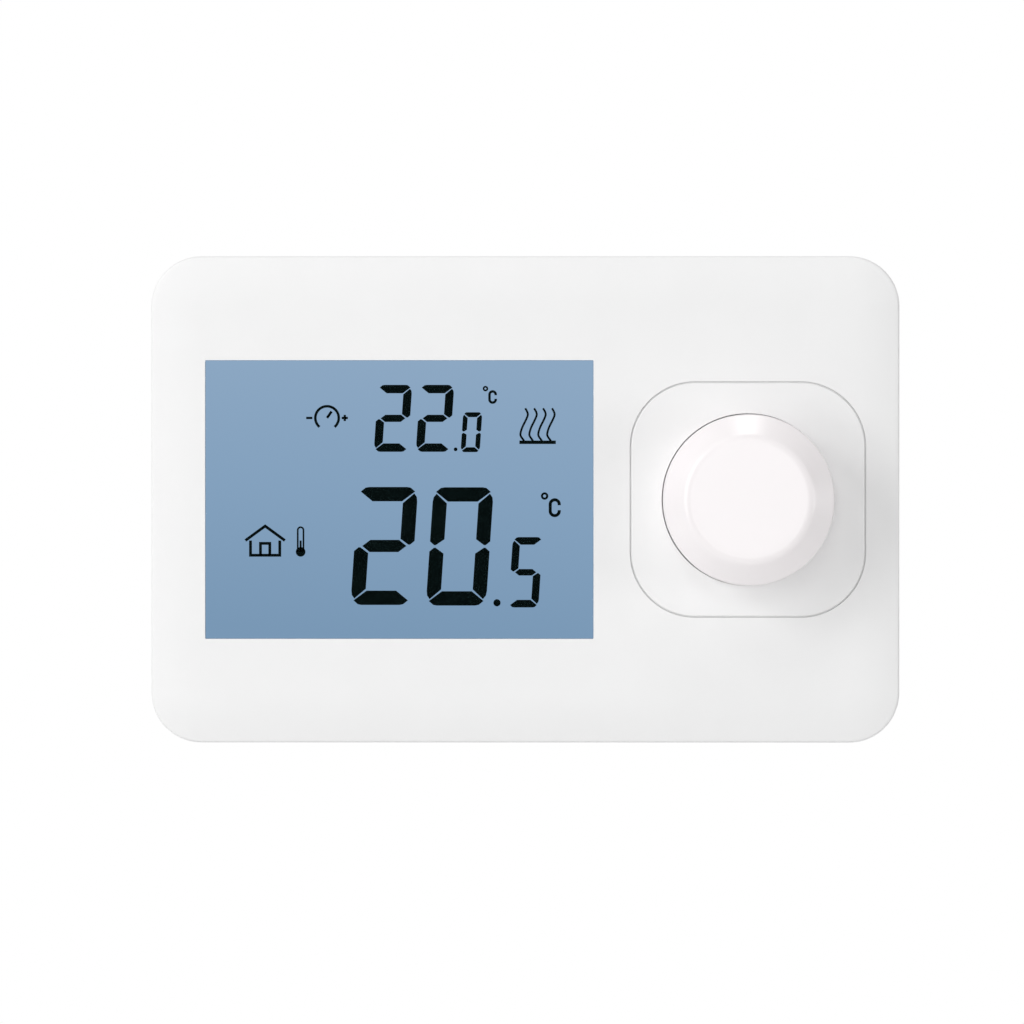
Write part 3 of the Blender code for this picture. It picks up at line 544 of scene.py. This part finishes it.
def build_knob():
    """Flat top, long cone and a short upright skirt; a hollow shell with a boss for the shaft."""
    radius, top_radius = 13.65 * mm, 9.95 * mm
    top, rim, back = 38.5 * mm, 35.4 * mm, 25.2 * mm
    slope = math.degrees(math.atan2(radius - top_radius, top - rim))
    rim_round, top_round = 0.8 * mm, 2.2 * mm
    top_centre = (top_radius - top_round * math.tan(math.radians(45 - slope / 2)), top - top_round)
    rim_centre = (radius - rim_round, rim - rim_round * math.tan(math.radians(slope / 2)))
    foot, wall = 0.25 * mm, 1.6 * mm
    boss, bore, boss_back = 5.4 * mm, 3.3 * mm, 28.8 * mm
    ceiling = top - wall
    inside = [
        (0, ceiling),
        (bore, ceiling),
        (bore, boss_back),
        (boss, boss_back),
        (boss, ceiling),
        (top_radius - 1.2 * mm, ceiling),
        (radius - wall, rim - 0.6 * mm),
        (radius - wall, back),
    ]
    skirt = arc_points((radius - foot, back + foot), foot, -90, 0, 4)
    cone_start = arc_points(rim_centre, rim_round, 0, slope, 10)
    cone_end = arc_points(top_centre, top_round, slope, 90, 18)
    crown_flat = [(cone_end[-1][0] * share, top) for share in (0.9, 0.6, 0.3)]
    profile = inside + skirt + cone_start + cone_end + crown_flat + [(0, top)]
    knob = add("knob_cap", turned(profile, 192, KNOB_X), KNOB_WHITE, 50)
    weighted = knob.modifiers.new("Weighted", "WEIGHTED_NORMAL")
    weighted.keep_sharp = True
    apply_modifiers(knob)
    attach(knob, "knob")
    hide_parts("knob")


# ---------------------------------------------------------------- display


def build_lens():
    """The clear window with its flange behind the edge of the cover's opening."""
    margin, gap = 4.3 * mm, 0.06 * mm
    flange = rectangle(WINDOW_WIDTH + margin, WINDOW_HEIGHT + margin)
    flange_back, flange_front, overlap = 24.02 * mm, 24.8 * mm, 0.1 * mm
    front = CASE_FRONT - 0.03 * mm
    body = rounded_rectangle(WINDOW_WIDTH - 2 * gap, WINDOW_HEIGHT - 2 * gap, 0.12 * mm, 4)
    body = moved(prism(body, flange_front - overlap, front), WINDOW_X)
    lens = add("display_window", body, LENS)
    change(lens, "UNION", moved(prism(flange, flange_back, flange_front), WINDOW_X))
    soften(lens, 0.06 * mm)
    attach(lens, ROOT)
    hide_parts("display_lens")


def build_panel():
    low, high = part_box("lcd_glass")
    centre_x, centre_z = (low[0] + high[0]) / 2, (low[2] + high[2]) / 2
    outline = rounded_rectangle(high[0] - low[0], high[2] - low[2], 0.4 * mm, 4)
    glass = moved(prism(outline, -high[1], -low[1]), centre_x, 0, centre_z)
    panel = add("display_panel", glass, GLOW)
    soften(panel, 0.1 * mm)
    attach(panel, ROOT)
    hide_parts("lcd_glass")


def disc(x, z, radius):
    return [(x + px, z + pz) for px, pz in circle(radius, 24)]


def stroke(points, width, closed=False):
    """The outline of a line of that width through the points, as a list of four-sided parts."""
    parts = []
    ends = list(zip(points, points[1:] + points[:1])) if closed else list(zip(points, points[1:]))
    sides = []
    count = len(points)
    for i, (x, z) in enumerate(points):
        here = Vector((x, z))
        before = here - Vector(points[i - 1]) if i or closed else None
        after = Vector(points[(i + 1) % count]) - here if i < count - 1 or closed else None
        legs = [leg.normalized() for leg in (before, after) if leg]
        direction = (legs[0] + legs[-1]).normalized()
        across = Vector((-direction.y, direction.x)) * width / 2
        across /= max(0.5, legs[0].dot(direction))
        sides.append(((x + across.x, z + across.y), (x - across.x, z - across.y)))
    for i in range(len(ends)):
        a, b = sides[i], sides[(i + 1) % count]
        parts.append([a[0], b[0], b[1], a[1]])
    return parts


SEGMENTS = {"0": "abcdef", "2": "abged", "5": "afgcd"}


def digit(symbol, left, bottom, width, height, thick, gap, lean=0.067):
    """Seven-segment digit with mitred ends; width includes the lean."""
    w, h, t = width - lean * height, height, thick
    half, c, cut, slot = h / 2, t * 0.32, gap * 0.7, gap * 0.5
    inner = t * 0.85
    bar = [
        (cut + c * 0.2, h - c),
        (c * 1.6, h - c * 0.15),
        (c * 2.4, h),
        (w - c * 2.4, h),
        (w - c * 1.6, h - c * 0.15),
        (w - cut - c * 0.2, h - c),
        (w - t - cut + c * 0.2, h - t),
        (t + cut - c * 0.2, h - t),
    ]
    side = [
        (w - c * 0.75, h - c - cut),
        (w - c * 0.15, h - c * 1.8 - cut),
        (w, h - c * 2.8 - cut),
        (w, half + t * 0.35),
        (w - t * 0.3, half + slot),
        (w - t * 0.42, half + slot),
        (w - t, half + t * 0.5),
        (w - t, h - t - cut),
    ]
    middle = [
        (t * 0.42 + cut, half),
        (t + slot, half + inner / 2),
        (w - t - slot, half + inner / 2),
        (w - t * 0.42 - cut, half),
        (w - t - slot, half - inner / 2),
        (t + slot, half - inner / 2),
    ]
    flip_x = [(w - x, z) for x, z in side]
    shapes = {
        "a": bar,
        "b": side,
        "c": [(x, h - z) for x, z in side],
        "d": [(x, h - z) for x, z in bar],
        "e": [(x, h - z) for x, z in flip_x],
        "f": flip_x,
        "g": middle,
    }
    return [
        [(left + x + lean * z, bottom + z) for x, z in shapes[letter]] for letter in SEGMENTS[symbol]
    ]


def degree_c(x, z, ring, c_left, c_bottom, c_width, c_height, line):
    """A small ring and a round-cornered C."""
    parts = stroke([(x + px, z + pz) for px, pz in circle(ring - line * 0.35, 20)], line * 0.7, True)
    a, b = c_width / 2 - line / 2, c_height / 2 - line / 2
    cx, cz = c_left + c_width / 2, c_bottom + c_height / 2
    straight = b - a
    path = [(cx + a, cz + straight * 0.72)]
    path += [(cx + a * math.cos(t), cz + straight + a * math.sin(t)) for t in steps_between(0, 180)]
    path += [(cx + a * math.cos(t), cz - straight + a * math.sin(t)) for t in steps_between(180, 360)]
    path += [(cx + a, cz - straight * 0.72)]
    return parts + stroke(path, line)


def steps_between(start, end, steps=10):
    return [math.radians(start + (end - start) * i / steps) for i in range(steps + 1)]


# one rising wave: (share of the sway, share of the rise), from the bar up
WAVE = (
    (0.0, 0.0),
    (-0.45, 0.14),
    (-0.5, 0.24),
    (-0.25, 0.42),
    (0.2, 0.62),
    (0.5, 0.78),
    (0.45, 0.88),
    (0.15, 1.0),
)


def heating_symbol(left, bottom, width, height):
    """Four rising waves over a bar."""
    bar, sway = 0.56 * mm, 1.15 * mm
    right, bar_top = left + width, bottom + bar
    parts = [[(left, bottom), (right, bottom), (right, bar_top), (left, bar_top)]]
    rise = height - bar
    for number in range(4):
        x = left + width * (0.13 + 0.245 * number)
        path = [(x + px * sway, bottom + bar * 0.9 + pz * rise) for px, pz in WAVE]
        parts += stroke(smooth_path(path), 0.33 * mm)
    return parts


def smooth_path(points, steps=4):
    """A Catmull-Rom curve through the points."""
    padded = [points[0]] + list(points) + [points[-1]]
    path = []
    for a, b, c, d in zip(padded, padded[1:], padded[2:], padded[3:]):
        for i in range(steps):
            t = i / steps
            weights = (
                (-t + 2 * t * t - t**3) / 2,
                (2 - 5 * t * t + 3 * t**3) / 2,
                (t + 4 * t * t - 3 * t**3) / 2,
                (t**3 - t * t) / 2,
            )
            path.append(tuple(sum(w * p[k] for w, p in zip(weights, (a, b, c, d))) for k in (0, 1)))
    return path + [points[-1]]


def dial_symbol(left, bottom, width, height):
    """A small dial with a pointer between two limit marks: the value that is set."""
    line, radius, arm = 0.42 * mm, height * 0.46, 0.5 * mm
    cx, cz = left + width / 2, bottom + height * 0.46
    arc = [(cx + radius * math.cos(t), cz + radius * math.sin(t)) for t in steps_between(-50, 230, 28)]
    parts = stroke(arc, line)
    tip = math.radians(55)
    reach = radius * 0.68
    parts += stroke([(cx, cz), (cx + reach * math.cos(tip), cz + reach * math.sin(tip))], line)
    for side in (-1, 1):
        x = cx + side * (width / 2 - arm)
        parts += stroke([(x - arm, cz), (x + arm, cz)], line * 0.9)
        if side > 0:
            parts += stroke([(x, cz - arm), (x, cz + arm)], line * 0.9)
    return parts


def house_symbol(left, bottom, width, height):
    """A house with a thermometer beside it: the value that is measured in the room."""
    line, bulb_radius = 0.46 * mm, 0.78 * mm
    house = width - 3.4 * mm
    cx, half = left + house / 2, house / 2 - line * 0.7
    eave, base, wall = bottom + height * 0.5, bottom + line / 2, half * 0.74
    parts = stroke([(cx - half, eave), (cx, bottom + height - line * 0.6), (cx + half, eave)], line)
    walls = [(cx - wall, eave), (cx - wall, base), (cx + wall, base), (cx + wall, eave)]
    parts += stroke(walls, line)
    door, lintel = 0.75 * mm, eave - line
    parts += stroke([(cx - door, base), (cx - door, lintel), (cx + door, lintel), (cx + door, base)], line)
    x, bulb, tube = left + width - 1.2 * mm, bottom + bulb_radius, 0.46 * mm
    top = bottom + height - line
    turns = steps_between(0, 180, 8)
    cap = [(x + tube * math.cos(t), top - tube + tube * math.sin(t)) for t in turns]
    parts += stroke([(x + tube, bulb)] + cap + [(x - tube, bulb)], line * 0.6)
    parts.append(disc(x, bulb, bulb_radius))
    parts += stroke([(x, bulb), (x, bottom + height * 0.5)], line * 0.7)
    return parts


# symbol, left, bottom, width, height, thickness of a segment, gap between segments, all in mm
DIGITS = (
    ("2", -28.1, -16.95, 10.9, 18.95, 2.3, 0.42),
    ("0", -16.0, -17.05, 10.95, 19.0, 2.3, 0.42),
    ("5", -2.75, -17.35, 5.6, 11.3, 1.22, 0.28),
    ("2", -24.35, 7.65, 6.2, 10.75, 1.35, 0.26),
    ("2", -17.6, 7.65, 6.2, 10.75, 1.35, 0.26),
    ("0", -10.4, 7.6, 3.5, 6.4, 0.78, 0.22),
)
# x, z, radius of each decimal point, in mm
POINTS = ((-4.55, -16.6, 0.58), (-11.2, 8.05, 0.3))
# ring x, ring z, ring radius, then the C's left, bottom, width, height and line, in mm
DEGREES = (
    (3.1, 0.55, 0.6, 3.75, -2.85, 1.95, 3.05, 0.5),
    (-6.4, 17.8, 0.44, -5.95, 15.35, 1.4, 2.2, 0.4),
)
# left, bottom, width and height of the three symbols, in mm
HEATING, DIAL, HOUSE = (-0.95, 8.9, 5.85, 5.8), (-35.2, 11.2, 6.7, 4.1), (-45.3, -9.2, 10.4, 5.2)


def metres(values):
    return [value * mm for value in values]


def build_digits():
    """Everything that the display shows, as one thin layer just in front of the panel."""
    back, front = 23.72 * mm, 23.76 * mm
    parts = []
    for symbol, *measures in DIGITS:
        parts += digit(symbol, *metres(measures))
    parts += [disc(*metres(measures)) for measures in POINTS]
    for measures in DEGREES:
        parts += degree_c(*metres(measures))
    parts += heating_symbol(*metres(HEATING))
    parts += dial_symbol(*metres(DIAL))
    parts += house_symbol(*metres(HOUSE))
    digits = add("display_digits", together([prism(part, back, front) for part in parts]), INK)
    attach(digits, ROOT)


build_cover()
build_surround()
build_knob()
build_panel()
build_digits()
build_lens()

# ---------------------------------------------------------------- floor, light and camera


def build_floor():
    mesh = bpy.data.meshes.new("floor")
    half_width, ahead, behind, level = 1.8, -1.8, 1.5, -0.3
    corners = [(-half_width, ahead), (half_width, ahead), (half_width, behind), (-half_width, behind)]
    mesh.from_pydata([(x, y, level) for x, y in corners], [], [(0, 1, 2, 3)])
    floor = bpy.data.objects.new("floor", mesh)
    bpy.context.scene.collection.objects.link(floor)
    made, shader, tree = principled("floor_pale", (0.9, 0.9, 0.9), 0.8)
    tint(tree, shader, noise(tree, 0.25, 2), (0.88, 0.88, 0.88), (0.92, 0.92, 0.92))
    mesh.materials.append(made)


# name: (place, width, height, power in watts); every light is white and aimed at the case
LIGHTS = {
    "key_low": ((-0.91, -0.8, -0.08), 0.32, 0.35, 1.66),
    "key_middle": ((-0.93, -0.75, 0.21), 0.28, 0.35, 1.82),
    "key_high": ((-0.85, -0.69, 0.53), 0.28, 0.35, 3.19),
    "upper_left": ((-0.44, -0.66, 0.92), 0.35, 0.25, 1.01),
    "front_high": ((0.0, -1.15, 0.41), 0.35, 0.25, 1.07),
    "front": ((0.0, -1.35, 0.03), 0.2, 0.15, 1.25),
    "overhead": ((0.04, -0.14, 1.19), 0.35, 0.25, 3.11),
    "right": ((1.13, -0.44, 0.0), 0.4, 0.4, 2.98),
}
FILL = 0.25
AIM = Vector((0, -0.026, 0))


def build_lights():
    for name, (place, width, height, power) in LIGHTS.items():
        lamp = bpy.data.lights.new(name, "AREA")
        lamp.shape = "RECTANGLE"
        lamp.size, lamp.size_y = width, height
        lamp.energy = power
        made = bpy.data.objects.new(name, lamp)
        made.location = place
        made.rotation_mode = "QUATERNION"
        made.rotation_quaternion = (AIM - Vector(place)).to_track_quat("-Z", "Y")
        made.visible_camera = False
        bpy.context.scene.collection.objects.link(made)


def build_world():
    """White where the camera sees past the object, and a dimmer even light on the object."""
    world = bpy.data.worlds.new("studio")
    world.use_nodes = True
    bpy.context.scene.world = world
    tree = world.node_tree
    shade = tree.nodes["Background"]
    shade.inputs["Color"].default_value = (1, 1, 1, 1)
    path = tree.nodes.new("ShaderNodeLightPath")
    level = tree.nodes.new("ShaderNodeMapRange")
    level.inputs["To Min"].default_value = FILL
    level.inputs["To Max"].default_value = 1.0
    tree.links.new(path.outputs["Is Camera Ray"], level.inputs["Value"])
    tree.links.new(level.outputs["Result"], shade.inputs["Strength"])


def build_camera():
    camera_data = bpy.data.cameras.new("camera")
    camera = bpy.data.objects.new("camera", camera_data)
    bpy.context.scene.collection.objects.link(camera)
    bpy.context.scene.camera = camera
    camera_data.sensor_width = 36
    camera_data.lens = LENS_MM
    camera_data.clip_start, camera_data.clip_end = 0.01, 20
    azimuth, elevation = math.radians(CAMERA_AZIMUTH), math.radians(CAMERA_ELEVATION)
    back = Vector(
        (
            math.sin(azimuth) * math.cos(elevation),
            -math.cos(azimuth) * math.cos(elevation),
            math.sin(elevation),
        )
    )
    camera.location = CAMERA_TARGET + back * CAMERA_DISTANCE
    camera.rotation_mode = "QUATERNION"
    camera.rotation_quaternion = (-back).to_track_quat("-Z", "Y")


CAMERA_AZIMUTH, CAMERA_ELEVATION, CAMERA_DISTANCE = 0.5, 0.5, 1.3
CAMERA_TARGET = Vector((-0.00214, -0.0235, -0.00202))
LENS_MM = 284.5

build_floor()
build_lights()
build_world()
build_camera()

scene = bpy.context.scene
scene.view_settings.view_transform = "Standard"
scene.view_settings.look = "None"
